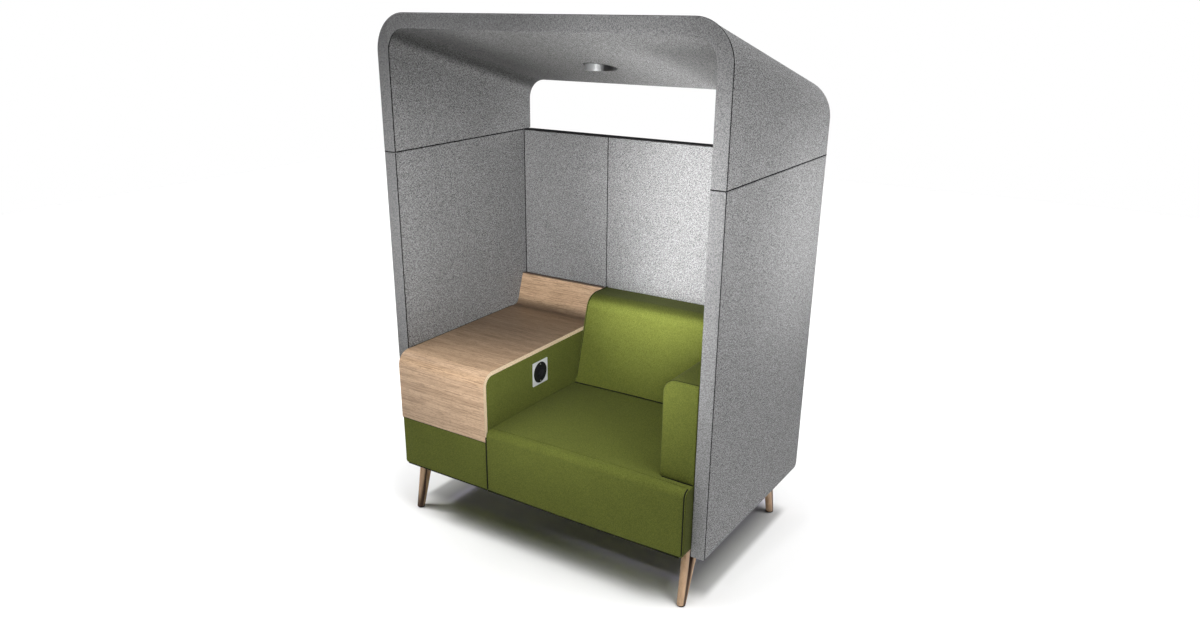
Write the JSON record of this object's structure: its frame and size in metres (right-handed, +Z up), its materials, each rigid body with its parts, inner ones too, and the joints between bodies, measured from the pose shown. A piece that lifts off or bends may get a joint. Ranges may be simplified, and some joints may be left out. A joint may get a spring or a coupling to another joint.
{
  "type": "canopy booth seating",
  "caption": "High-sided upholstered canopy booth with a padded seat, one arm, a bent-plywood laptop table with a power socket, and a ceiling downlight.",
  "frame": {"origin": "on the floor, in the middle of the overall width and overall depth", "axes": "+X to the right of a person facing the open front, from the table towards the seat; +Y from the open front to the back; +Z up"},
  "size_m": [1.4, 0.91, 1.978],
  "materials": {
    "grey_cloth": "woven",
    "green_cloth": "woven",
    "veneer": "satin",
    "leg_wood": "satin",
    "board": "raw",
    "black_plastic": "matte",
    "dark_cloth": "woven",
    "silver_plastic": "satin",
    "chrome": "polished",
    "steel": "zinc plated",
    "black_metal": "satin",
    "cooler": "anodised",
    "lens": "frosted"
  },
  "bodies": {
    "booth": {"left_panel_core": "board", "left_panel_cover": "grey_cloth", "right_panel_core": "board", "right_panel_cover": "grey_cloth", "rear_narrow_core": "board", "rear_narrow_cover": "grey_cloth", "rear_wide_core": "board", "rear_wide_cover": "grey_cloth", "rear_cap_rail": "black_plastic", "rear_dowels": "board", "joint_strips": "black_plastic", "canopy_core": "board", "canopy_cover": "grey_cloth", "canopy_lining": "grey_cloth", "canopy_pins": "steel", "light_can": "steel", "light_rim": "black_metal", "light_pivot_pins": "steel", "table_carcass": "board", "table_cover": "green_cloth", "table_top": "veneer", "table_screws": "steel", "socket_plate": "silver_plastic", "socket_insert": "black_plastic", "socket_box": "black_plastic", "socket_screws": "steel", "seat_frame": "board", "seat_webbing": "dark_cloth", "seat_cushion": "green_cloth", "seat_dust_cover": "dark_cloth", "back_frame": "board", "backrest_cushion": "green_cloth", "back_bolts": "steel", "arm_frame": "board", "arm_pad": "green_cloth", "arm_bolts": "steel", "block_bolts": "steel", "panel_bolts": "steel", "leg_front_left": "leg_wood", "leg_front_right": "leg_wood", "leg_rear_left": "leg_wood", "leg_rear_right": "leg_wood", "leg_plates": "black_metal", "plate_screws": "steel", "leg_inserts": "steel"},
    "downlight": {"light_ring": "chrome", "light_reflector": "chrome", "light_lens": "lens", "light_heat_sink": "cooler"},
    "glide_front_left": {"glide_front_left": "black_plastic"},
    "glide_front_right": {"glide_front_right": "black_plastic"},
    "glide_rear_left": {"glide_rear_left": "black_plastic"},
    "glide_rear_right": {"glide_rear_right": "black_plastic"}
  },
  "joints": [
    {"name": "downlight_tilt", "type": "hinge", "parent": "booth", "child": "downlight", "pos_m": [-0.07, 0.11591, 1.79416], "axis": [1, 0, 0], "range_deg": [-20, 5]},
    {"name": "glide_front_left_level", "type": "slide", "parent": "booth", "child": "glide_front_left", "axis": [0, 0, -1], "range_m": [0, 0.01]},
    {"name": "glide_front_right_level", "type": "slide", "parent": "booth", "child": "glide_front_right", "axis": [0, 0, -1], "range_m": [0, 0.01]},
    {"name": "glide_rear_left_level", "type": "slide", "parent": "booth", "child": "glide_rear_left", "axis": [0, 0, -1], "range_m": [0, 0.01]},
    {"name": "glide_rear_right_level", "type": "slide", "parent": "booth", "child": "glide_rear_right", "axis": [0, 0, -1], "range_m": [0, 0.01]}
  ]
}
